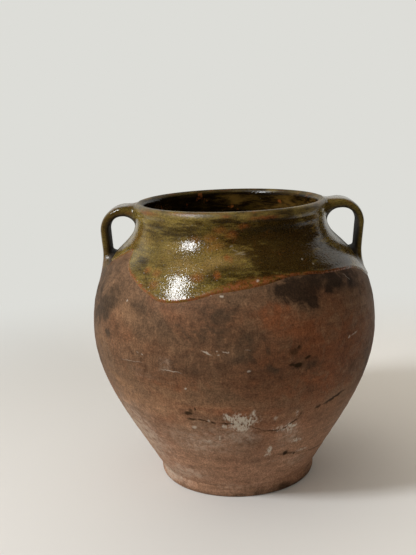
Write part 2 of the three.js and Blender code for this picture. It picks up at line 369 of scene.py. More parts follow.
CHIPS = spots(
    (23, 161, 4.8, 2.4), (23.4, 178, 2.6, 1.8, 0.85, 40), (21.5, 174, 4.4, 3.6, 0.6), (26.2, 55, 2.8, 3.2),
    (32.3, 51.4, 1.6, 2, 0.9), (-19, 113, 4.6, 2.2, 0.9, 12), (-18, 116, 2.2, 2.4, 0.7),
    (-15.9, 118.5, 1, 1.8, 0.8), (-1.5, 223, 1.2, 0.9, 0.6), (-48, 204.5, 1.2, 1, 0.5),
) + strokes(
    (19.3, 162.5, 22, 161, 1.5, 0.9), (25.6, 166, 28.2, 168, 1.6, 0.9), (23.5, 55.2, 33.5, 51.2, 1, 0.6),
    (37, 49.8, 60, 41.2, 0.7, 0.55), (-20, 106.2, -16.5, 105.8, 1.4, 0.85),
    (34, 108.5, 36.6, 109.8, 1.8, 0.9), (38.3, 110.3, 49.4, 117.9, 1.7, 1),
    (-16, 106.6, -11.5, 104.5, 0.9, 0.85), (-10.5, 104.5, -8.5, 102.5, 1, 0.85),
    (-6.5, 103, -0.5, 102.4, 0.8, 0.85), (0.5, 102.3, 3.5, 101, 0.6, 0.7), (5, 99.5, 11.6, 91.3, 0.6, 0.6),
    (11.6, 91.3, 20.2, 89.4, 0.9, 0.75), (20.2, 89.4, 22.7, 95.1, 0.7, 0.7),
    (22.7, 95.1, 26.4, 100.8, 0.9, 0.85), (26.6, 102, 27.6, 109, 1.2, 0.6),
)


def painted(marks, turn, height, wall, grown=0.0):
    """How strongly marks show at places on the wall, as soft blots that reach a little past their size."""
    shown = np.zeros(np.broadcast(turn, height).shape)
    for mark in marks:
        away = (turn - math.radians(mark.turn) + math.pi) % (2.0 * math.pi) - math.pi
        across, up = away * wall.at(wall.reach_of(mark.height))[0], height - mark.height
        cosine, sine = math.cos(math.radians(mark.tilt)), math.sin(math.radians(mark.tilt))
        wide = (across * cosine + up * sine) / (mark.half_width + grown)
        tall = (up * cosine - across * sine) / (mark.half_height + grown)
        shown = np.maximum(shown, mark.strength * np.exp(-(wide**2 + tall**2)))
    return shown


def within(reach, starts, ends):
    """1 along a stretch of the line, easing in over its starts and out over its ends."""
    return smooth(reach, *starts) * (1.0 - smooth(reach, *ends))


# Waves in the clay: seed, how many, most times round the pot, pitch and height
UNEVEN = ((11, 9, 3, 0.16, 0.00028), (12, 7, 1, 0.011, 0.00007), (13, 26, 34, 0.017, 0.00005))
THROWN_RINGS = (14, 5, 1, 0.016, 0.00030)
CHIP_DEPTH = 0.0005
CHIP_SPREAD = 0.0012  # how far a chip's slope reaches past it


def relief(turn, reach, wall):
    """How far the handmade surface stands off the true wall."""
    height = wall.at(reach)[1]
    outside = within(reach, (0.084, 0.094), (wall.crest - 0.012, wall.crest - 0.004))
    inside = within(reach, (wall.crest + 0.010, wall.crest + 0.030), (wall.end - 0.075, wall.end - 0.030))
    uneven = sum(waves(turn, height, *field) for field in UNEVEN)
    chipped = CHIP_DEPTH * painted(CHIPS, turn, height, wall, CHIP_SPREAD)
    return outside * (uneven - chipped) + inside * waves(turn, height, *THROWN_RINGS)


def handmade(turn, reach, wall, proud=0.0):
    """Points of the handmade surface, as an array of positions."""
    radius, height, out, up = wall.at(reach)
    lift = relief(turn, reach, wall) + proud
    radius = radius + out * lift
    height = height + up * lift
    return np.stack([radius * np.sin(turn), -radius * np.cos(turn), height], axis=-1)


# Lower edge of the outer glaze: the turn in degrees and the share of the longest drip there
GLAZE_EDGE = [
    (-90, 0.714), (-78, 0.69), (-62, 0.53), (-54, 0.679), (-41, 0.821), (-29, 0.94),
    (-18, 0.917), (-8, 0.845), (10, 0.774), (26, 0.714), (45, 0.744), (62, 0.774),
    (70, 0.833), (79, 0.94), (93, 1.0), (108, 0.905), (125, 0.762), (148, 0.679),
    (170, 0.738), (194, 0.845), (212, 0.905), (229, 0.833), (246, 0.738), (270, 0.714),
]


EDGE_WAVES = (21, 16, 40, 1.0, 0.0005)  # given as for the clay
INSET = 0.00006  # how far the glaze stays inside the face of the solids
GLAZE_SINK = 0.0002  # how far it reaches into the clay


def edge_height(turn, sizes):
    """Height of the outer glaze's lower edge, on a smooth curve through its places."""
    turns, shares = np.array(GLAZE_EDGE, float).T
    turns = np.concatenate([[turns[-2] - 360.0], turns, [turns[1] + 360.0]])
    shares = np.concatenate([[shares[-2]], shares, [shares[1]]])
    slopes = (shares[2:] - shares[:-2]) / (turns[2:] - turns[:-2])
    degrees = (np.degrees(turn) + 90.0) % 360.0 - 90.0
    at = np.clip(np.searchsorted(turns[1:-1], degrees, side="right") - 1, 0, len(GLAZE_EDGE) - 2)
    low, high = shares[at + 1], shares[at + 2]
    run = turns[at + 2] - turns[at + 1]
    part = (degrees - turns[at + 1]) / run
    hang = cubic(low, low + run * slopes[at] / 3, high - run * slopes[at + 1] / 3, high, part)
    return GLAZE_TOP - sizes.drip * hang + waves(turn, 0.0, *EDGE_WAVES)


def coat_at(from_edge, sizes):
    """How far the glaze stands off the clay at a distance above its lower edge."""
    full = sizes.coat * smooth(from_edge, -0.0002, 0.0018)
    return full + sizes.bead * hump(from_edge, 0.0024, 0.0018) - INSET


def face_at(turn, reach, wall, sizes):
    """Points of the outermost face there, be it clay or glaze."""
    from_edge = reach - wall.reach_of(edge_height(turn, sizes))
    glazed = np.where(from_edge > 0.0, coat_at(from_edge, sizes), 0.0)
    return handmade(turn, reach, wall, glazed)


# Stains on the clay, of which the broad ones are painted on its corners. The first list also holds painted
# shade along the foot's lower edge
SMOKE_AND_FOOT_SHADE = spots(
    (-16, 165, 74, 21, 0.56, -3), (-12, 196, 62, 16, 0.62), (6, 176, 46, 18, 0.66),
    (-36, 188, 14, 12, 0.55), (-55, 190, 30, 18, 0.34), (44, 165, 42, 34, 0.34), (7, 72, 22, 40, 0.4),
    # the first three rows here are painted shade under the foot's rounded lower edge
    (42, 1, 60, 8.5, 0.86), (12, 4, 46, 8, 0.6), (-36, 3, 40, 7, 0.45), (14, 50, 34, 10, 0.42),
    (26, 160, 34, 14, 0.62), (15, 160, 20, 16, 0.62), (50, 144, 36, 15, 0.5), (66, 140, 22, 34, 0.75),
    (4, 189, 30, 10, 0.76), (8, 160, 50, 28, 0.46), (-62.5, 204, 36, 11, 1.3, 34),
    (-58, 198.5, 10, 9, 1.3), (-57, 180.5, 8.5, 3.4, 1.4), (-72, 215, 40, 30, 0.75, 20),
    (-38, 212.5, 15, 6.5, 0.65, -12), (-3, 213, 30, 14, 0.6, 5), (-2, 190, 26, 17, 0.68),
    (-17, 207, 22, 12, 0.25), (28, 133, 16, 8, 0.45), (-5, 150, 16, 24, 0.35), (57, 140, 26, 9, 0.35, -8),
    (40, 96, 16, 8, 0.3, -20), (118, 190, 60, 30, 0.6, 12), (150, 130, 45, 22, 0.45, -16),
    (190, 202, 50, 16, 0.6, 6), (228, 160, 35, 30, 0.5, 20),
)
SMUDGE = spots(
    (27.5, 228.5, 25, 11.8, 1.7), (45, 230.5, 40, 11.2, 1.05), (33, 218, 8, 5, 0.7),
    (53, 226.5, 26, 10, 0.85, -6), (60.5, 212, 5, 10, 0.4), (140, 216, 45, 9, 0.7, 4),
)
TAN = spots(
    (-42, 115, 60, 14, 0.85, 2), (-47, 206, 26, 14, 0.55, -10), (-63, 178, 25, 18, 0.35),
    (-52, 113, 34, 18, 0.75, 4), (-27, 126, 36, 15, 0.5, -8), (-24, 103, 30, 18, 0.55),
    (-3, 123, 40, 6, 0.55, -3), (-68, 70, 40, 34, 0.5, 10), (-20, 129, 34, 8, 0.6, -3),
    (-50, 132, 30, 11, 0.6), (-15, 115, 22, 8, 0.6), (-56, 108, 26, 26, 0.6), (40, 106, 30, 10, 0.3, 12),
    (85, 115, 60, 28, 0.5, 6), (165, 90, 70, 30, 0.55, -6), (250, 135, 45, 26, 0.5, 8),
)
RED = spots(
    (-14, 162, 85, 34, 0.42), (14, 164, 26, 16, 0.9), (12, 176, 18, 12, 0.8), (36, 160, 66, 52, 0.85),
    (12, 95, 80, 30, 0.6), (15, 208, 34, 11, 0.8), (16, 170, 28, 22, 0.65), (-9, 117, 52, 10, 0.8, -3),
    (-28, 113, 34, 13, 0.7, 4), (-24, 142, 40, 8, 0.45, -6), (24, 193, 36, 14, 0.75),
    (35, 172, 30, 22, 0.55), (6, 152, 10, 9, 0.65), (11.5, 83, 8, 42, 0.65), (14, 113, 26, 12, 0.5),
    (-3, 44, 22, 17, 0.6), (18, 51, 40, 12, 0.6), (8, 188, 24, 12, 0.6), (46, 12, 30, 12, 0.55),
    (66, 140, 24, 34, 0.8), (-27, 108, 32, 14, 0.9, 4), (-4, 115, 10, 10, 0.55), (130, 165, 50, 30, 0.55),
    (205, 140, 50, 24, 0.55),
)
DUST = spots(
    (-60, 12, 36, 9, 0.72), (-38, 27, 36, 10, 0.5, 4), (-14, 78, 52, 24, 0.38, 4), (1, 87, 22, 18, 0.46),
    (-55, 68, 36, 42, 0.62), (24, 83, 16, 22, 0.34), (36, 40, 30, 10, 0.3, -14), (-5, 14, 45, 6, 0.26),
    (60, 80, 30, 30, 0.22, -20), (-27, 165, 10, 12, 0.3), (-36, 150, 26, 10, 0.22), (170, 60, 60, 26, 0.4),
)
LIME = spots(
    (2.3, 106.5, 16.5, 7, 0.95, -4), (-3.7, 111, 5, 4.2, 0.8), (-5.7, 99, 3.6, 2.8, 0.75),
    (0.5, 98.5, 15, 5, 0.8, -3), (6.5, 114, 2.6, 5, 0.6), (22.8, 92.5, 6.5, 4, 1, -16),
    (20.5, 89, 12, 6, 0.6, -16), (17, 65.5, 3, 6.8, 0.95, 10), (17, 59, 5, 7, 0.5),
    (30, 72, 9, 5, 0.6, -34), (37, 52, 12, 2, 0.6, 10), (-13.5, 83, 5, 4, 0.45), (-7, 85, 2.6, 5, 0.45),
    (27, 108.5, 2.2, 5.2, 0.6), (19, 44, 9, 1.6, 0.45, -16),
)
SCRATCHES = strokes(
    (-11.5, 179, -8, 176.2, 0.7, 0.8), (-4.5, 179.5, -2, 178, 0.6, 0.6), (3.5, 180, 6, 180.2, 0.4, 0.25),
    (46.5, 175.5, 48.2, 176.5, 0.9, 0.8), (49, 176.5, 53, 178.5, 0.7, 0.6),
    (-36.4, 170.5, -35.4, 169.2, 0.6, 0.5), (-38.5, 171.2, -37.5, 170.6, 0.5, 0.4),
    (-27.5, 158.5, -20, 157, 0.5, 0.6), (-48, 159, -36, 162, 0.4, 0.3), (53.5, 233, 56, 227, 0.6, 0.5),
)
SPECKS = spots(
    (-4.3, 228, 1.6, 1.1, 0.9), (-8.5, 229, 0.7, 0.7, 0.7), (-45.5, 217.5, 1, 1.2, 0.8),
    (5, 160, 1.6, 1.2, 0.7), (-9.6, 178.2, 1.7, 0.9, 0.9, -30), (-6.2, 179.5, 0.6, 0.6, 0.6),
    (-2, 178.5, 0.8, 0.6, 0.6), (-5.6, 175.8, 1.2, 0.4, 0.5, -15), (-18, 96, 2.4, 1.8, 0.9),
    (16, 106, 1.8, 2.2, 0.6), (-11, 105.5, 1, 1.6, 0.7), (-18.5, 141, 1.2, 1, 0.9),
)
CLAY_STAINS_AND_SHADE = {"smoke": SMOKE_AND_FOOT_SHADE, "smudge": SMUDGE, "tan": TAN, "red": RED, "dust": DUST, "lime": LIME}


POOLS_AND_RIM_SHADE = spots(
    (-47, 245.5, 11.5, 9.5, 0.85, -10), (-40, 240, 13, 5, 0.55, -12), (-2, 243, 44, 10, 0.74, 4),
    # the first row here, at 289.5 mm, is painted shade in the band under the rim
    (4, 289.5, 80, 3.5, 0.62), (-24, 284.5, 48, 4, 0.85), (-32, 280, 52, 9.5, 0.8),
    (22, 282, 48, 5.2, 1.1), (-60, 280, 12, 10, 0.4), (180, 298.5, 200, 5, 0.9),
)
RUNS = spots(
    (18.5, 276, 16, 5.5, 0.85), (33, 274, 26, 6, 0.6), (14, 264, 30, 8, 0.3), (-48, 272, 20, 8, 0.45),
    (-65, 270, 10, 16, 0.5), (-5, 276, 26, 7, 0.5),
)
# painted shade: the glaze's right side, away from the window, and the band under the rim
SHADES = spots(
    (31, 263, 44, 27, 2), (23, 285, 37, 8.5, 2.2), (14, 278.5, 28, 11, 2), (2, 283, 20, 5),
    (6, 290.5, 70, 3.4), (52, 244, 20, 8, 8), (150, 270, 30, 10, 2),
)
# lighter glaze between the window's two reflections, partly painted sheen of that window
GLOWS = spots(
    (-6, 254.5, 24, 9, 0.74), (-19, 250, 24, 9.5, 0.62), (-34, 260, 18, 8, 0.35),
)
GLAZE_STAINS_SHADE_AND_SHEEN = {"pool": POOLS_AND_RIM_SHADE, "run": RUNS, "shade": SHADES, "glow": GLOWS}
LINING_OLIVE = spots(
    (135, 278, 45, 16, 0.75), (105, 285, 30, 12, 0.8), (175, 288, 25, 6, 0.6), (-120, 286, 20, 5, 0.5),
)


# Modelling


def select_only(piece):
    bpy.ops.object.select_all(action="DESELECT")
    piece.select_set(True)
    bpy.context.view_layer.objects.active = piece


def flat_grid(name, columns, rows):
    """A grid that is then rolled up. Returns it with each corner's angle round the roll and its row."""
    bpy.ops.object.select_all(action="DESELECT")
    bpy.ops.mesh.primitive_grid_add(x_subdivisions=columns, y_subdivisions=rows, size=1.0)
    piece = bpy.context.object
    piece.name = piece.data.name = name
    places = corners(piece)
    return piece, places[:, 0] * 2.0 * math.pi, np.rint((places[:, 1] + 0.5) * rows).astype(int)


def close_seams(piece):
    """Merges the sides of a rolled grid, and the rows that shrank to a point, and turns its faces out."""
    select_only(piece)
    bpy.ops.object.mode_set(mode="EDIT")
    bpy.ops.mesh.select_mode(type="VERT")
    bpy.ops.mesh.select_all(action="SELECT")
    bpy.ops.mesh.remove_doubles(threshold=0.00001)
    bpy.ops.mesh.normals_make_consistent(inside=False)
    bpy.ops.object.mode_set(mode="OBJECT")


def corners(piece):
    places = np.zeros(len(piece.data.vertices) * 3, np.float32)
    piece.data.vertices.foreach_get("co", places)
    return places.reshape(-1, 3).astype(float)


def move_corners(piece, places):
    piece.data.vertices.foreach_set("co", np.asarray(places, np.float32).ravel())
    piece.data.update()


# Waves that shake the outlines of painted marks, given as for the clay
TURN_SHAKE, HEIGHT_SHAKE = (41, 14, 18, 0.045, 0.020), (42, 14, 18, 0.045, 0.0024)


def paint(piece, blots, turn, height, wall):
    """Writes each named list of marks on the piece's corners, with its outlines shaken."""
    shaken_turn = turn + waves(turn, height, *TURN_SHAKE)
    shaken_height = height + waves(turn, height, *HEIGHT_SHAKE)
    for name, marks in blots.items():
        write_attribute(piece, name, painted(marks, shaken_turn, shaken_height, wall))


def write_attribute(piece, name, values):
    attribute = piece.data.attributes.new(name, "FLOAT", "POINT")
    attribute.data.foreach_set("value", np.asarray(values, np.float32))


def thicken(piece, thickness):
    """Gives a skin its thickness, on its inner side."""
    select_only(piece)
    solidify = piece.modifiers.new("Thickness", "SOLIDIFY")
    solidify.thickness = thickness
    solidify.offset = -1.0
    bpy.ops.object.modifier_apply(modifier=solidify.name)


def finish_piece(piece, node, finish):
    """Smooth shading, material, and what the piece stands for in the frame."""
    select_only(piece)
    bpy.ops.object.shade_smooth()
    piece.data.materials.clear()
    piece.data.materials.append(finish)
    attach(piece, "root")
    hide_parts(node)


def throw_body(wall):
    """The thrown clay, closed from the middle of the base to the middle of the floor."""
    piece, turn, row = flat_grid("thrown_clay", TURN_STEPS, len(wall.points) - 1)
    moved = handmade(turn, wall.reach[row], wall)
    moved[:, 2] = np.maximum(moved[:, 2], 0.0)
    move_corners(piece, moved)
    paint(piece, CLAY_STAINS_AND_SHADE, turn, wall.points[row, 1], wall)
    close_seams(piece)
    return piece


# The glaze's thin margin: its height, where it is higher (by how much, turn and reach), and its waves
THIN_MARGIN = 0.0036
THINNEST = 0.35  # share of the margin that is wholly thin
HIGHER_MARGINS = ((0.0078, 4.0, 16.0), (0.0024, -46.0, 16.0))
MARGIN_WAVES = (22, 9, 24, 1.0, 0.0008)
AT_HANDLES = (85.0, 22.0)  # turn and reach of the places where the margin stays thick
WIPED = (92.0, 14.0)  # turn and reach of the places that are wiped dull
GLAZE_CROWDING, LINING_CROWDING = 1.6, 1.35  # how its rows crowd towards the edge and the rim


def dip_outside(sizes, wall):
    """The glaze from its ragged lower edge up to the crest of the rim."""
    piece, turn, row = flat_grid("dipped_glaze", TURN_STEPS, GLAZE_ROWS)
    edge = wall.reach_of(edge_height(turn, sizes))
    from_edge = (wall.crest - edge) * (row / GLAZE_ROWS) ** GLAZE_CROWDING
    move_corners(piece, handmade(turn, edge + from_edge, wall, coat_at(from_edge, sizes)))
    degrees = np.degrees(turn)
    margin = THIN_MARGIN + waves(turn, 0.0, *MARGIN_WAVES)
    for higher, middle, reach in HIGHER_MARGINS:
        margin = margin + higher * hump(degrees, middle, reach)
    thin = 1.0 - 0.8 * hump(np.abs(degrees), *AT_HANDLES)
    write_attribute(piece, "thin", thin * (1.0 - smooth(from_edge, margin * THINNEST, margin)))
    write_attribute(piece, "wiped", hump(np.abs(degrees), *WIPED))
    paint(piece, GLAZE_STAINS_SHADE_AND_SHEEN, turn, wall.at(edge + from_edge)[1], wall)
    close_seams(piece)
    thicken(piece, sizes.coat + GLAZE_SINK)
    return piece


def pour_lining(sizes, wall):
    """The glaze from the crest of the rim down to the middle of the floor."""
    piece, turn, row = flat_grid("poured_lining", TURN_STEPS, LINING_ROWS)
    reach = between(wall.crest, wall.end, (row / LINING_ROWS) ** LINING_CROWDING)
    move_corners(piece, handmade(turn, reach, wall, sizes.coat - INSET))
    paint(piece, {"olive": LINING_OLIVE, **GLAZE_STAINS_SHADE_AND_SHEEN}, turn, wall.at(reach)[1], wall)
    close_seams(piece)
    thicken(piece, sizes.coat + GLAZE_SINK)
    return piece


# A pulled strap: its side (way 1 right, -1 left), drop, finger room, lean and how much thicker it is inside
Side = namedtuple("Side", "name way drop room lean extra")


TAIL_EASE = 0.45  # of the curve from the grip on to the shoulder


def strap_line(side, sizes, wall):
    """Middle line of a strap as radius and height, with its lengths and the height that it lands at:
    level out of the rim, round the bend, down the grip, and leaning on to the shoulder."""
    pot, strap = sizes
    grip = pot.neck_radius + side.room + strap.thickness / 2
    top = GLAZE_TOP - side.drop - strap.root_thickness / 2
    landing = wall.height_of(grip)
    grip_foot = (grip - side.lean, landing + strap.grip_foot_rise)
    tip_height = landing - strap.tail_reach
    run = (grip_foot[1] - tip_height) * TAIL_EASE
    at_tip, over_tip = wall.at(wall.reach_of(np.array([tip_height, tip_height + run])))[0]
    tip = (at_tip - strap.tail_sink, tip_height)
    slope = side.lean / (top - strap.bend - grip_foot[1])
    under_grip = (grip_foot[0] - slope * run, grip_foot[1] - run)
    start = (pot.neck_radius - strap.root_depth, top)
    bend_middle = np.array([grip - strap.bend, top - strap.bend])
    turn = np.linspace(math.pi / 2, 0.0, 40)[1:]
    points = np.concatenate(
        [
            [start],
            straight(start, (grip - strap.bend, top), steps=20),
            bend_middle + np.stack([np.cos(turn), np.sin(turn)], axis=1) * strap.bend,
            straight((grip, top - strap.bend), grip_foot, steps=20),
            bezier((grip_foot, under_grip, (tip[0] + over_tip - at_tip, tip[1] + run), tip), steps=40),
        ]
    )
    return points, lengths_along(points), landing


def squared(value, squareness):
    return np.sign(value) * np.abs(value) ** squareness


STRAP_WAVES = (31, 6, 2, 0.05, 0.00022)  # given as for the clay
EDGE_SQUARENESS, FACE_SQUARENESS = 0.60, 0.62  # 1 is round and 0 is square
THUMB_GROOVE, GROOVE_REACH = 0.0006, 0.22  # depth of the line down the outer face, and its share of the width
PROBE = 0.0005  # how far ahead and behind the strap's way is taken


def strap_section(side, strap, line, along, angle):
    """Points of the strap's section at a length along its middle line, and the way it runs there.
    An angle of 90 degrees is its inner face, and 0 its edge."""
    points, lengths, _ = line
    behind, middle, ahead = (
        np.stack([np.interp(along + step, lengths, points[:, axis]) for axis in (0, 1)])
        for step in (-PROBE, 0.0, PROBE)
    )
    run = (ahead - behind) / np.linalg.norm(ahead - behind, axis=0)
    root = 1.0 - smooth(along, 0.0, strap.root_taper)
    tail = 1.0 - smooth(lengths[-1] - along, 0.0, strap.tail_taper)
    extra = side.extra * (1.0 - root) * (1.0 - tail)

    def glazed(grip_size, root_size, tail_size):
        return between(between(grip_size, root_size, root), tail_size, tail) + 2.0 * strap.glaze

    width = glazed(strap.width, strap.root_width, strap.tail_width)
    depth = glazed(strap.thickness, strap.root_thickness, strap.tail_thickness) + extra
    drawn = waves(angle, along, *STRAP_WAVES)
    across = squared(np.cos(angle), EDGE_SQUARENESS) * (width / 2 + drawn)
    inward = squared(np.sin(angle), FACE_SQUARENESS) * (depth / 2 + drawn / 2)
    groove = THUMB_GROOVE * hump(across, 0.0, width * GROOVE_REACH) * (np.sin(angle) < 0.0)
    inward = inward + groove + extra / 2
    out, height = middle[0] + run[1] * inward, middle[1] - run[0] * inward
    places = np.stack([side.way * out, side.way * across, height], axis=-1)
    return places, np.stack([side.way * run[0], 0.0 * across, run[1]], axis=-1)


# A strap's end on the wall: reach of its inner and its outer face, half width, squareness and smear outwards
Footprint = namedtuple("Footprint", "inner outer half_width squareness smear")


def landing_ring(side, footprint, pot, wall, angle, sunk=0.0, spread=1.0):
    """Points of the ring on the wall that a strap's end runs out to, and the wall's outward way there."""
    middle, half = (footprint.inner + footprint.outer) / 2, (footprint.inner - footprint.outer) / 2
    reach = middle + squared(np.sin(angle), footprint.squareness) * half * spread
    across = squared(np.cos(angle), footprint.squareness) * footprint.half_width * spread
    radius, _, out, up = wall.at(reach)
    turn = side.way * math.pi / 2 + across / radius
    outward = np.stack([out * np.sin(turn), -out * np.cos(turn), up], axis=-1)
    return face_at(turn, reach, wall, pot) - outward * sunk, outward


STRAP_HOLD = 0.42  # how far a landing keeps the way that the strap runs


def land(side, footprint, pot, wall, angle, ring, heading, amount):
    """Points on the smooth run from the wall (amount 0) to a ring of the strap (amount 1)."""
    landed, outward = landing_ring(side, footprint, pot, wall, angle)
    inward = face_at(side.way * math.pi / 2, (footprint.inner + footprint.outer) / 2, wall, pot) - landed
    inward -= outward * (inward * outward).sum(axis=-1, keepdims=True)
    inward /= np.linalg.norm(inward, axis=-1, keepdims=True)
    hold = np.linalg.norm(ring - landed, axis=-1, keepdims=True)
    second = landed + inward * hold * footprint.smear
    return cubic(landed, second, ring + heading * hold * STRAP_HOLD, ring, amount)


ROOT_LANDING = 0.2745  # height of the lowest clay of a strap's root
ROOT_TOP = 0.0006  # how far short of the crest the root's upper face lands
ROOT_SPREAD = 0.0065  # how much wider than the strap it lands, on each side
ROOT_FREE = 0.0135  # how far off the wall the strap has its own shape
BURIED_ROWS = ((1, 0.0009, 1.01), (0, 0.0030, 0.0))  # row from the end, depth and share of the ring
# these rows of the crease are darkened as painted shade
CREASE_ROWS = 1.6  # how many rows the crease round a strap's tail takes


def pull_strap(side, sizes, wall):
    """A strap handle: a tube of rings, drawn along its middle line and worked on to the wall at both ends."""
    pot, strap = sizes
    line = strap_line(side, sizes, wall)
    _, lengths, landing = line
    piece, angle, row = flat_grid(f"pulled_strap_{side.name}", STRAP_SIDES, STRAP_CUTS + 1)
    root_ends = wall.reach_of(ROOT_LANDING), wall.crest - ROOT_TOP
    root = Footprint(*root_ends, strap.root_width / 2 + ROOT_SPREAD, squareness=0.9, smear=0.42)
    tail_ends = wall.reach_of(landing + strap.tail_fillet), wall.reach_of(landing - strap.tail_smear)
    tail = Footprint(*tail_ends, strap.smear_width / 2, squareness=0.8, smear=0.03)
    free = (strap.root_depth + ROOT_FREE, lengths[-1] - strap.tail_reach - strap.tail_free)
    first_free = LANDING_ROWS + 2
    last_free = STRAP_CUTS + 1 - first_free
    along = between(*free, np.clip((row - first_free) / (last_free - first_free), 0.0, 1.0))
    ring, heading = strap_section(side, strap, line, along, angle)
    moved = ring.copy()
    for footprint, rows_in, towards in ((root, row, -1.0), (tail, STRAP_CUTS + 1 - row, 1.0)):
        amount = np.clip((rows_in - 2) / LANDING_ROWS, 0.0, 1.0)[:, None]
        near = rows_in < first_free
        moved[near] = land(side, footprint, pot, wall, angle, ring, heading * towards, amount)[near]
        for buried, sunk, size in BURIED_ROWS:
            at = rows_in == buried
            moved[at] = landing_ring(side, footprint, pot, wall, angle, sunk, size)[0][at]
    move_corners(piece, moved)
    # painted shade on the inner face, towards the neck, which is also made rougher
    write_attribute(piece, "inner", smooth(np.sin(angle), -0.15, 0.85))
    # painted shade in the crease round the strap's tail
    creased = hump(row, STRAP_CUTS - 1, CREASE_ROWS) * smooth(np.abs(np.cos(angle)), 0.35, 0.85)
    write_attribute(piece, "crease", creased)
    close_seams(piece)
    return piece


# Finishes


class Nodes:
    """Short words for the nodes that patterns are built from."""

    def __init__(self, tree):
        self.tree = tree

    def add(self, kind, inputs=None, **settings):
        node = self.tree.nodes.new("ShaderNode" + kind)
        for key, value in settings.items():
            setattr(node, key, value)
        for socket, value in (inputs or {}).items():
            self.feed(node.inputs[socket], value)
        return node

    def feed(self, socket, value):
        if isinstance(value, bpy.types.NodeSocket):
            self.tree.links.new(value, socket)
        elif socket.type == "RGBA" and len(value) == 3:
            socket.default_value = (*value, 1.0)
        else:
            socket.default_value = value

    def math(self, operation, first, second):
        return self.add("Math", {0: first, 1: second}, operation=operation).outputs[0]

    def times(self, first, second):
        return self.math("MULTIPLY", first, second)

    def larger(self, first, second):
        return self.math("MAXIMUM", first, second)

    def vector(self, operation, first, inputs=None, output="Vector"):
        return self.add("VectorMath", {0: first, **(inputs or {})}, operation=operation).outputs[output]

    def along(self, place, axis):
        """How far a place, or a direction, lies along an axis."""
        return self.vector("DOT_PRODUCT", place, {1: Vector(axis).normalized()}, "Value")

    def band(self, value, low, high, start=0.0, end=1.0):
        """start below low, end above high, easing between."""
        inputs = {"Value": value, "From Min": low, "From Max": high, "To Min": start, "To Max": end}
        return self.add("MapRange", inputs, interpolation_type="SMOOTHSTEP").outputs["Result"]

    def blend(self, amount, under, over, blend_type="MIX"):
        inputs = {0: amount, 6: under, 7: over}
        return self.add("Mix", inputs, data_type="RGBA", blend_type=blend_type).outputs[2]

    def shade(self, colour, amount):
        """A colour made darker or lighter by an amount."""
        grey = self.add("CombineXYZ", {0: amount, 1: amount, 2: amount}).outputs[0]
        return self.blend(1.0, colour, grey, "MULTIPLY")

    def mix_shaders(self, amount, under, over):
        return self.add("MixShader", {0: amount, 1: under, 2: over}).outputs[0]


MARK_DEPTH = 0.03  # how far in and out from the wall a mark reaches


class Finish(Nodes):
    """A material on the object's own coordinates."""

    def __init__(self, name):
        self.material = bpy.data.materials.new(name)
        self.material.use_nodes = True
        super().__init__(self.material.node_tree)
        self.shader = self.tree.nodes["Principled BSDF"]
        self.place = self.add("TexCoord").outputs["Object"]
        self.height = self.add("SeparateXYZ", {0: self.place}).outputs["Z"]

    def painted(self, name):
        return self.add("Attribute", attribute_name=name).outputs["Fac"]

    def stain(self, name, noise, unevenness, low, high, most=1.0):
        """Strength of a painted stain, painted shade or painted sheen, broken up by noise: none below low,
        and most above high.
        """
        blot = self.painted(name)
        broken = self.times(blot, self.band(noise, 0.3, 0.7, 1.0 - unevenness, 1.0 + unevenness))
        return self.band(broken, low, high, 0.0, most)

    def noise(
        self, size, detail=4.0, roughness=0.6, stretch=(1.0, 1.0, 1.0), shift=(0.0, 0.0, 0.0), swirl=0.0,
        output="Fac",
    ):
        """Noise with features of about a size in metres."""
        place = {"Vector": self.place, "Location": shift, "Scale": stretch}
        inputs = {"Vector": self.add("Mapping", place).outputs[0], "Scale": 1.0 / size}
        inputs.update({"Detail": detail, "Roughness": roughness, "Distortion": swirl})
        return self.add("TexNoise", inputs).outputs[output]

    def ragged(self, size, amount):
        """The object's place, shaken by noise, so that a mark's edge is uneven."""
        centred = self.vector("SUBTRACT", self.noise(size, output="Color"), {1: (0.5, 0.5, 0.5)})
        return self.vector("ADD", self.place, {1: self.vector("SCALE", centred, {"Scale": amount})})

    def marks(self, marks, wall, place, softness):
        """1 inside the marks and 0 outside, fading over a share of their size."""
        total = None
        for mark in marks:
            radius, height, _, _ = wall.at(wall.reach_of(mark.height))
            turn = math.radians(mark.turn)
            inputs = {
                "Vector": place,
                "Location": (radius * math.sin(turn), -radius * math.cos(turn), height),
                "Rotation": (0.0, -math.radians(mark.tilt), turn),
                "Scale": (mark.half_width, max(MARK_DEPTH, 1.5 * mark.half_height), mark.half_height),
            }
            inside = self.add("Mapping", inputs, vector_type="TEXTURE").outputs[0]
            away = self.vector("LENGTH", inside, output="Value")
            shown = self.band(away, 1.0 - softness, 1.0 + softness, mark.strength, 0.0)
            total = shown if total is None else self.larger(total, shown)
        return total

    def bumps(self, *layers):
        """Bumps over one another, from rows of height, distance and strength."""
        surface = None
        for height, distance, strength in layers:
            under = {} if surface is None else {"Normal": surface}
            inputs = {"Height": height, "Distance": distance, "Strength": strength, **under}
            surface = self.add("Bump", inputs).outputs[0]
        return surface

    def set(self, **inputs):
        for name, value in inputs.items():
            self.feed(self.shader.inputs[name.replace("_", " ")], value)


def clay_tint(finish, colours):
    """Uneven colour of the bare clay, with the noises that broke it up."""
    broad = finish.noise(0.050, detail=3.0, roughness=0.5, swirl=0.6)
    cloud = finish.noise(0.018, shift=(3.0, 1.0, 2.0), swirl=1.2)
    mottle = finish.noise(0.0055, roughness=0.70, shift=(1.0, 5.0, 0.0), swirl=0.4)
    tint = finish.blend(finish.band(broad, 0.42, 0.72, 0.0, 0.5), colours.clay, colours.clay_red)
    tint = finish.blend(finish.band(cloud, 0.46, 0.72, 0.0, 0.42), tint, colours.smoke)
    tint = finish.blend(finish.band(cloud, 0.30, 0.46, 0.34, 0.0), tint, colours.clay_tan)
    return tint, cloud, mottle


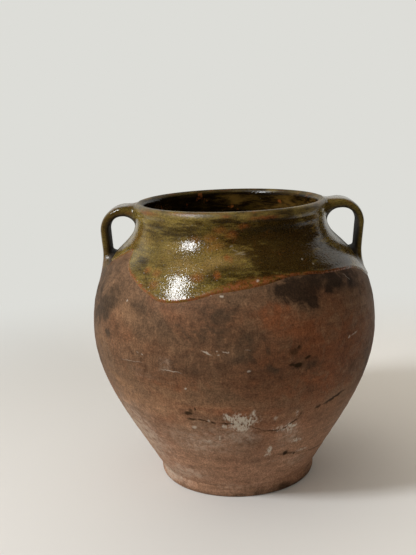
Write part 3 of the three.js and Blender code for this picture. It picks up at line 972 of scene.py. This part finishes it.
def clay_grain(finish, tint, mottle):
    """Darkens and lightens a tint by mottling, grit, wheel lines and brush lines."""
    wheel = finish.noise(0.0040, stretch=(0.10, 0.10, 1.0))
    brush = finish.noise(0.0020, detail=3.0, stretch=(1.0, 1.0, 0.22), shift=(7.0, 0.0, 1.0))
    grit = finish.noise(0.0015, detail=2.0, shift=(2.0, 8.0, 5.0))
    amount = finish.band(mottle, 0.26, 0.74, 0.80, 1.20)
    for noise, strength in ((grit, 0.27), (wheel, 0.13), (brush, 0.11)):
        amount = finish.times(amount, finish.band(noise, 0.28, 0.72, 1.0 - strength, 1.0 + strength))
    return finish.shade(tint, amount), wheel, brush


def clay_finish(name, wall, colours):
    """Bare fired clay: wheel streaks, smoky places, lighter places, limescale, chips and scratches, and
    painted shade along the foot.
    """
    clay = Finish(name)
    tint, cloud, mottle = clay_tint(clay, colours)
    tint = clay.blend(clay.stain("red", cloud, 0.5, 0.05, 0.95), tint, colours.clay_red)
    tint = clay.blend(clay.stain("tan", cloud, 0.5, 0.05, 0.95), tint, colours.clay_tan)
    low_down = clay.band(clay.height, 0.026, 0.150, 0.68, 0.0)
    pale = clay.times(low_down, clay.band(cloud, 0.3, 0.7, 0.7, 1.3))
    tint = clay.blend(pale, tint, colours.clay_pale)
    # smoky stains, with painted shade along the foot's lower edge
    tint = clay.blend(clay.stain("smoke", cloud, 0.42, 0.03, 1.0), tint, colours.smoke)
    tint = clay.blend(clay.stain("smudge", cloud, 0.45, 0.10, 0.85, 0.85), tint, colours.soot_and_shade)
    tint, wheel, brush = clay_grain(clay, tint, mottle)

    dust = clay.stain("dust", mottle, 0.5, 0.08, 0.80, 0.50)
    lime = clay.stain("lime", brush, 0.80, 0.22, 0.86, 0.90)
    fine = clay.ragged(0.004, 0.0040)
    scratches = clay.times(clay.marks(SCRATCHES + SPECKS, wall, fine, 0.5), 0.7)
    for amount in (dust, lime, scratches):
        tint = clay.blend(amount, tint, colours.lime)
    tint = clay.blend(clay.marks(CHIPS, wall, fine, 0.45), tint, colours.umber)

    brushed = clay.math("ADD", brush, lime)
    surface = clay.bumps((mottle, 0.00035, 0.7), (wheel, 0.00018, 0.7), (brushed, 0.00014, 0.7))
    rough = clay.band(clay.math("ADD", dust, cloud), 0.2, 1.0, 0.52, 0.78)
    clay.set(Base_Color=tint, Roughness=rough, Normal=surface, Specular_IOR_Level=0.10)
    return clay.material


RUST_SPOTS = spots(
    (-56, 295.5, 16, 1.8, 0.6), (-28, 297.5, 14, 1.2, 0.5), (-34.5, 244.5, 4.5, 3, 0.55),
    (-40, 246, 4, 2.4, 0.6), (-33.5, 235, 4.5, 3.5, 0.5), (-15, 243, 5.5, 3.4, 0.65),
    (-6.4, 245.2, 3, 2.8, 0.85), (-2.4, 259, 2.6, 2.2, 0.85), (-0.5, 257, 1.8, 2.2, 0.5),
    (-11, 275, 6, 3.5, 0.4), (-6, 283, 5.5, 3, 0.45), (0, 279, 5.5, 3.4, 0.5), (6.5, 286.5, 5, 2.2, 0.5),
    (-3, 296, 4, 1.4, 0.7), (18, 293.5, 13, 1.6, 0.75), (-9, 268, 8, 4, 0.3), (-20, 274, 6, 3, 0.3),
)


# painted glints: small reflections of light on scratches and specks of the glaze, drawn as pale marks
PAINTED_GLINTS = spots(
    (3.8, 262.2, 3.8, 0.6, 0.36, 12), (5.4, 261.2, 2.2, 0.5, 0.32, 4), (1.6, 264.5, 2.6, 0.5, 0.26, -24),
    (-0.2, 268.2, 1.4, 0.6, 0.4, 20), (10.2, 239.8, 1.1, 0.9), (34.3, 252.7, 0.9, 0.7, 0.7),
    (38.8, 247.8, 0.8, 0.7, 0.8),
)


def glaze_tint(glaze, wall, colours):
    """Colour of the outer glaze: olive, pooled dark, run brown, and rusty where it is thin, with painted
    shade on its right side and under the rim, and lighter glaze with painted sheen beside the window's
    reflection.
    """
    broad = glaze.noise(0.030, stretch=(0.7, 0.7, 1.3))
    tint = glaze.blend(glaze.band(broad, 0.40, 0.70, 0.0, 0.8), colours.olive, colours.amber)
    flow = glaze.noise(0.0034, roughness=0.65, stretch=(0.22, 0.22, 1.0), shift=(2.0, 0.0, 7.0))
    tint = glaze.blend(glaze.band(flow, 0.36, 0.80, 0.0, 0.74), tint, colours.moss)
    cloud = glaze.noise(0.016, detail=3.0, roughness=0.5, stretch=(0.7, 0.7, 1.3), shift=(1.0, 4.0, 2.0))
    tint = glaze.blend(glaze.band(cloud, 0.38, 0.86, 0.0, 0.40), tint, colours.moss)
    tint = glaze.blend(glaze.stain("run", broad, 0.4, 0.05, 0.8), tint, colours.amber)
    # painted shade on the right side and under the rim
    tint = glaze.blend(glaze.stain("shade", flow, 0.60, 0.10, 0.95, 0.88), tint, colours.umber)
    # pooled glaze, and painted shade in the band under the rim
    tint = glaze.blend(glaze.stain("pool", flow, 0.35, 0.05, 0.95, 0.85), tint, colours.moss)
    # lighter glaze, partly painted sheen beside the window's reflection
    tint = glaze.blend(glaze.stain("glow", flow, 0.35, 0.05, 0.95, 0.60), tint, colours.straw)
    freckle = glaze.noise(0.0085, roughness=0.65, shift=(5.0, 5.0, 1.0))
    tint = glaze.blend(glaze.band(freckle, 0.60, 0.80, 0.0, 0.35), tint, colours.rust)
    rust = glaze.marks(RUST_SPOTS, wall, glaze.ragged(0.0030, 0.0050), 0.8)
    tint = glaze.blend(glaze.times(rust, 0.85), tint, colours.rust)
    grain = glaze.noise(0.0013, detail=2.0, shift=(6.0, 1.0, 3.0))
    tint = glaze.shade(tint, glaze.band(grain, 0.30, 0.70, 0.62, 1.38))
    worn = glaze.noise(0.009, detail=3.0, roughness=0.55, shift=(0.0, 9.0, 0.0))
    on_crest = glaze.band(glaze.height, wall.top - 0.0022, wall.top + 0.0002)
    worn = glaze.times(on_crest, glaze.band(worn, 0.50, 0.68, 0.0, 0.4))
    return glaze.blend(worn, tint, colours.rust), flow


def glaze_surface(glaze):
    """Uneven, pitted skin of the glaze, which breaks up the window's reflection."""
    peel = glaze.noise(0.0024, detail=2.0, roughness=0.5, stretch=(0.8, 0.8, 1.3))
    grit = glaze.noise(0.0019, detail=1.0, roughness=0.5, shift=(0.0, 3.0, 3.0))
    pits = glaze.add("TexVoronoi", {"Vector": glaze.place, "Scale": 1.0 / 0.0042, "Randomness": 1.0})
    pitted = glaze.band(pits.outputs["Distance"], 0.05, 0.18)
    return glaze.bumps((peel, 0.00028, 0.62), (grit, 0.00016, 1.0), (pitted, 0.00012, 1.0)), pitted


def outer_glaze_finish(name, wall, colours):
    glaze = Finish(name)
    tint, _ = glaze_tint(glaze, wall, colours)
    lumpy = glaze.noise(0.0034, roughness=0.55, shift=(8.0, 0.0, 0.0))
    margin = glaze.times(glaze.painted("thin"), glaze.band(lumpy, 0.36, 0.60, 0.15, 1.0))
    tint = glaze.blend(margin, tint, colours.rust)
    surface, pitted = glaze_surface(glaze)
    tint = glaze.blend(glaze.band(pitted, 0.0, 1.0, 0.55, 0.0), tint, colours.soot_and_shade)
    # painted glints of reflected light, in a pale colour
    glints = glaze.marks(PAINTED_GLINTS, wall, glaze.ragged(0.0012, 0.0022), 0.8)
    tint = glaze.blend(glaze.times(glints, 0.7), tint, colours.lime)
    crest = glaze.band(glaze.height, wall.top - 0.011, wall.top - 0.003, 0.0, 0.6)
    matt = glaze.band(glaze.noise(0.0016, detail=2.0, shift=(3.0, 7.0, 2.0)), 0.49, 0.60, 0.0, 0.48)
    dull = glaze.times(margin, 0.6)
    for other in (glaze.painted("wiped"), crest, matt):
        dull = glaze.larger(dull, other)
    rough = glaze.band(dull, 0.0, 1.0, 0.06, 0.52)
    glaze.set(Base_Color=tint, Roughness=rough, Normal=surface, IOR=GLAZE_IOR, Specular_IOR_Level=0.44)
    return glaze.material


def lining_finish(name, wall, colours):
    """The glaze inside: like the outside at the rim, then dark brown with rusty spots, made near black below
    the rim partly as painted shade inside the pot.
    """
    glaze = Finish(name)
    tint, flow = glaze_tint(glaze, wall, colours)
    # below the rim the glaze turns near black: dark glaze, and painted shade inside the pot
    deep = glaze.band(glaze.height, wall.top - 0.0035, wall.top - 0.0005, 1.0, 0.0)
    dark = glaze.blend(glaze.band(flow, 0.4, 0.7), colours.lining, colours.moss)
    dark = glaze.blend(glaze.stain("olive", flow, 0.6, 0.05, 0.9, 0.6), dark, colours.amber)
    freckle = glaze.noise(0.012, detail=3.0, roughness=0.55, shift=(4.0, 4.0, 4.0))
    dark = glaze.blend(glaze.band(freckle, 0.62, 0.72, 0.0, 0.8), dark, colours.rust)
    tint = glaze.blend(deep, tint, dark)
    surface, _ = glaze_surface(glaze)
    rough = glaze.band(deep, 0.0, 1.0, 0.45, 0.12)
    glaze.set(Base_Color=tint, Roughness=rough, Normal=surface, IOR=GLAZE_IOR, Specular_IOR_Level=0.28)
    return glaze.material


def strap_finish(name, wall, colours, bare_height, wear):
    """The glaze on a strap, worn to the clay on its upper bend and bare below the dip line, with painted
    shade on its inner face and in the crease round its tail.
    """
    glaze = Finish(name)
    tint, _ = glaze_tint(glaze, wall, colours)
    tint = glaze.blend(0.45, tint, colours.moss)
    worn = glaze.noise(0.006, roughness=0.55, shift=(0.0, 2.0, 6.0))
    upper = glaze.band(glaze.height, wall.top - 0.014, wall.top - 0.002)
    bared = glaze.times(upper, glaze.band(worn, 0.54, 0.66, 0.0, wear))
    tint = glaze.blend(bared, tint, colours.rust)
    ragged_height = glaze.math("ADD", glaze.height, glaze.band(worn, 0.2, 0.8, -0.010, 0.010))
    bare = glaze.band(ragged_height, bare_height - 0.011, bare_height + 0.011, 1.0, 0.0)
    clay, cloud, mottle = clay_tint(glaze, colours)
    clay = glaze.blend(glaze.band(cloud, 0.4, 0.6, 0.1, 0.6), clay, colours.smoke)
    tint = glaze.blend(bare, tint, clay_grain(glaze, clay, mottle)[0])
    inner = glaze.painted("inner")
    # painted shade on the inner face and in the crease round the tail
    shaded = glaze.larger(glaze.times(inner, 0.9), glaze.times(glaze.painted("crease"), 0.7))
    tint = glaze.blend(shaded, tint, colours.soot_and_shade)
    surface, _ = glaze_surface(glaze)
    rough = glaze.band(glaze.larger(glaze.larger(bare, bared), inner), 0.0, 1.0, 0.12, 0.75)
    glaze.set(Base_Color=tint, Roughness=rough, Normal=surface, IOR=GLAZE_IOR)
    return glaze.material


# Stage


# Painted light on the floor, made lighter on the right and behind the pot over its shadow: the way, from
# where to where along it, and by how much
FLOOR_PAINTED_LIGHT = (((1.0, 0.0, 0.0), -0.05, 0.25, 1.22), ((0.75, 0.65, 0.0), 0.05, 0.22, 1.14))
FLOOR_FADE = (0.2, 0.6)  # shares of the stage's radius between which the floor turns plain
ROOM_DARK = (0.02, 0.02, 0.02)  # what gloss sees in front


def lit_backdrop(name, colour_shown, catches_shadow=None):
    """A pale surface that the camera and reflections see in its own colour. The floor shades as any surface
    near the pot, and only its far part is shown plain; near the pot its colour is painted lighter on the
    right and behind, over the pot's shadow. Gloss sees its front part dark."""
    stage = Finish(name)
    stage.set(Base_Color=colour_shown, Roughness=0.9, Specular_IOR_Level=0.2)
    rays = stage.add("LightPath").outputs
    seen = stage.larger(rays["Is Camera Ray"], rays["Is Glossy Ray"])
    seen = stage.larger(seen, rays["Is Transmission Ray"])
    if catches_shadow:
        near, far, far_colour = catches_shadow
        away = stage.vector("LENGTH", stage.place, output="Value")
        seen = stage.times(seen, stage.band(away, near, far, 0.04, 1.0))
        # painted light: the floor is made lighter on the right and behind the pot, over its shadow
        lighter = 1.0
        for way, low, high, most in FLOOR_PAINTED_LIGHT:
            lighter = stage.times(lighter, stage.band(stage.along(stage.place, way), low, high, 1.0, most))
        stage.set(Base_Color=stage.shade(colour_shown, lighter))
        colour_shown = far_colour
    glow = stage.add("Emission", {"Color": colour_shown, "Strength": 1.0}).outputs[0]
    mixed = stage.mix_shaders(seen, stage.shader.outputs[0], glow)
    in_front = stage.band(stage.along(stage.place, (0.0, -1.0, 0.0)), 0.0, 0.35, 0.0, 0.95)
    in_front = stage.times(in_front, rays["Is Glossy Ray"])
    dark = stage.add("Emission", {"Color": ROOM_DARK}).outputs[0]
    mixed = stage.mix_shaders(in_front, mixed, dark)
    stage.tree.links.new(mixed, stage.tree.nodes["Material Output"].inputs["Surface"])
    stage.material.cycles.emission_sampling = "NONE"
    return stage.material


def stage_circle(name, radius, fill_type):
    bpy.ops.object.select_all(action="DESELECT")
    bpy.ops.mesh.primitive_circle_add(vertices=128, radius=radius, fill_type=fill_type)
    piece = bpy.context.object
    piece.name = piece.data.name = name
    return piece


def set_floor(stage):
    floor = stage_circle("studio_floor", stage.stage_radius, "NGON")
    near, far = (share_of * stage.stage_radius for share_of in FLOOR_FADE)
    finish = lit_backdrop("pale_floor", stage.floor_colour, (near, far, stage.wall_colour))
    floor.data.materials.append(finish)


def set_backdrop(stage):
    """A curved sheet that stands behind the pot, from side to side."""
    sheet = stage_circle("studio_backdrop", stage.stage_radius, "NOTHING")
    front = -stage.stage_radius * math.cos(math.radians(stage.backdrop_turn))
    bpy.ops.object.mode_set(mode="EDIT")
    bpy.ops.mesh.select_mode(type="VERT")
    bpy.ops.mesh.select_all(action="DESELECT")
    bpy.ops.object.mode_set(mode="OBJECT")
    for corner in sheet.data.vertices:
        corner.select = corner.co.y < front
    bpy.ops.object.mode_set(mode="EDIT")
    bpy.ops.mesh.delete(type="VERT")
    bpy.ops.mesh.select_all(action="SELECT")
    bpy.ops.mesh.extrude_region_move(TRANSFORM_OT_translate={"value": (0.0, 0.0, stage.stage_radius)})
    bpy.ops.object.mode_set(mode="OBJECT")
    sheet.data.materials.append(lit_backdrop("pale_backdrop", stage.wall_colour))


# The window and its sheen: turn, rise, shares of width, height and power, and whether only gloss sees it
WINDOWS = {
    "window_light": (-58.5, 37.0, 0.5, 0.32, 1.0, False),
    "window_sheen": (-54.0, 40.5, 0.8, 1.0, 1.15, True),
}
WINDOW_TARGET = (0.0, 0.0, 0.2)
WINDOW_ROLL = 24.0


def set_window(stage):
    """The window, and its sheen on the glaze, which comes from a little nearer the front."""
    for name, (turn, rise, narrower, shorter, stronger, gloss) in WINDOWS.items():
        turn, rise = math.radians(turn), math.radians(rise)
        way = Vector((math.sin(turn) * math.cos(rise), -math.cos(turn) * math.cos(rise), math.sin(rise)))
        leaning = way.to_track_quat("Z", "Y") @ Quaternion((0.0, 0.0, 1.0), math.radians(WINDOW_ROLL))
        place = Vector(WINDOW_TARGET) + way * stage.window_distance
        bpy.ops.object.light_add(type="AREA", location=place, rotation=leaning.to_euler())
        window = bpy.context.object
        window.name = name
        window.data.shape = "RECTANGLE"
        window.data.size = stage.window_width * narrower
        window.data.size_y = stage.window_height * shorter
        window.data.energy = stage.window_power * stronger
        window.data.color = stage.window_colour
        window.visible_camera = False
        window.visible_diffuse = not gloss
        window.visible_glossy = gloss


def set_room(stage):
    """Soft light from above, behind and the left. The camera sees the backdrop's colour all round, and
    gloss sees a dark room in front and a pale wall on the left."""
    world = bpy.data.worlds.new("studio_room")
    bpy.context.scene.world = world
    world.use_nodes = True
    world.node_tree.nodes.clear()
    room = Nodes(world.node_tree)
    way = room.add("TexCoord").outputs["Generated"]
    soft = room.band(room.along(way, (-0.75, 0.2, 0.45)), -0.4, 1.0, 0.2 * stage.fill, stage.fill)
    wall = room.band(room.along(way, (-1.0, 0.1, 0.2)), 0.3, 0.9, 0.02, 0.28)
    rays = room.add("LightPath").outputs
    strength = room.add("Mix", {0: rays["Is Glossy Ray"], 2: soft, 3: wall}).outputs[0]
    light = room.add("Background", {"Color": stage.fill_colour, "Strength": strength}).outputs[0]
    shown = room.add("Background", {"Color": stage.wall_colour}).outputs[0]
    room.add("OutputWorld", {"Surface": room.mix_shaders(rays["Is Camera Ray"], light, shown)})


# The camera: its place, and its turn to the left, its tilt down and its roll, in radians
CAMERA_PLACE = (0.0, -0.877, 0.4097)
CAMERA_TURN, CAMERA_TILT, CAMERA_ROLL = 0.03009, 0.21755, -0.03426


def set_camera(stage):
    """The camera stands in front of the pot, a little above it, and is rolled as it was held."""
    heading = Matrix.Rotation(CAMERA_TURN, 4, "Z")
    tilt = Matrix.Rotation(math.pi / 2 - CAMERA_TILT, 4, "X")
    roll = Matrix.Rotation(CAMERA_ROLL, 4, "Z")
    camera = bpy.data.objects.new("studio_camera", bpy.data.cameras.new("studio_camera"))
    bpy.context.scene.collection.objects.link(camera)
    camera.matrix_world = Matrix.Translation(CAMERA_PLACE) @ heading @ tilt @ roll
    camera.data.lens = stage.lens
    bpy.context.scene.camera = camera


# Operators


class POT_OT_clay(bpy.types.Operator):
    """Throws the clay body and gives it its bare finish."""

    bl_idname = "pot.clay"
    bl_label = "Thrown clay"

    def execute(self, context):
        wall = Wall(context.scene.pot_sizes)
        finish = clay_finish("bare_clay", wall, context.scene.pot_colours)
        finish_piece(throw_body(wall), "pot_body", finish)
        return {"FINISHED"}


class POT_OT_glaze(bpy.types.Operator):
    """Dips the outside and pours the lining."""

    bl_idname = "pot.glaze"
    bl_label = "Glaze inside and out"

    def execute(self, context):
        sizes, colours = context.scene.pot_sizes, context.scene.pot_colours
        wall = Wall(sizes)
        finish = outer_glaze_finish("olive_glaze", wall, colours)
        finish_piece(dip_outside(sizes, wall), "glaze_outside", finish)
        finish = lining_finish("lining_glaze", wall, colours)
        finish_piece(pour_lining(sizes, wall), "glaze_inside", finish)
        return {"FINISHED"}


class POT_OT_straps(bpy.types.Operator):
    """Pulls both strap handles and works them on to the rim and the shoulder."""

    bl_idname = "pot.straps"
    bl_label = "Strap handles"

    def execute(self, context):
        scene = context.scene
        pot, strap = scene.pot_sizes, scene.strap_sizes
        wall = Wall(pot)
        left = Side("left", -1, strap.drop_left, strap.room_left, strap.lean_left, strap.extra_left)
        right = Side("right", 1, strap.drop_right, strap.room_right, strap.lean_right, 0.0)
        for side, bare_height, wear in ((left, 0.240, 0.5), (right, 0.200, 0.2)):
            piece = pull_strap(side, (pot, strap), wall)
            finish = strap_finish(f"strap_glaze_{side.name}", wall, scene.pot_colours, bare_height, wear)
            finish_piece(piece, f"handle_{side.name}", finish)
        return {"FINISHED"}


class POT_OT_stage(bpy.types.Operator):
    """Sets the floor, the backdrop, the light and the camera."""

    bl_idname = "pot.stage"
    bl_label = "Stage"

    def execute(self, context):
        for step in (set_floor, set_backdrop, set_window, set_room, set_camera):
            step(context.scene.pot_stage)
        context.scene.view_settings.view_transform = "Standard"
        return {"FINISHED"}


class POT_PT_panel(bpy.types.Panel):
    """Lists the sizes, the colours and the steps."""

    bl_label = "Two-handled pot"
    bl_idname = "POT_PT_panel"
    bl_space_type = "VIEW_3D"
    bl_region_type = "UI"
    bl_category = "Pot"

    def draw(self, context):
        for operator in STEPS:
            self.layout.operator(operator.bl_idname)
        for name in SETTINGS:
            box = self.layout.box()
            group = getattr(context.scene, name)
            for key in group.bl_rna.properties.keys():
                if key not in ("rna_type", "name"):
                    box.prop(group, key)


SETTINGS = {
    "pot_sizes": PotSizes,
    "strap_sizes": StrapSizes,
    "pot_colours": PotColours,
    "pot_stage": StageSettings,
}
STEPS = (POT_OT_clay, POT_OT_glaze, POT_OT_straps, POT_OT_stage)
CLASSES = (*SETTINGS.values(), *STEPS, POT_PT_panel)


def register():
    for item in CLASSES:
        bpy.utils.register_class(item)
    for name, group in SETTINGS.items():
        setattr(bpy.types.Scene, name, bpy.props.PointerProperty(type=group))


def unregister():
    for name in SETTINGS:
        delattr(bpy.types.Scene, name)
    for item in reversed(CLASSES):
        bpy.utils.unregister_class(item)


def main():
    register()
    bpy.ops.pot.clay()
    bpy.ops.pot.glaze()
    bpy.ops.pot.straps()
    bpy.ops.pot.stage()


if __name__ == "__main__":
    main()
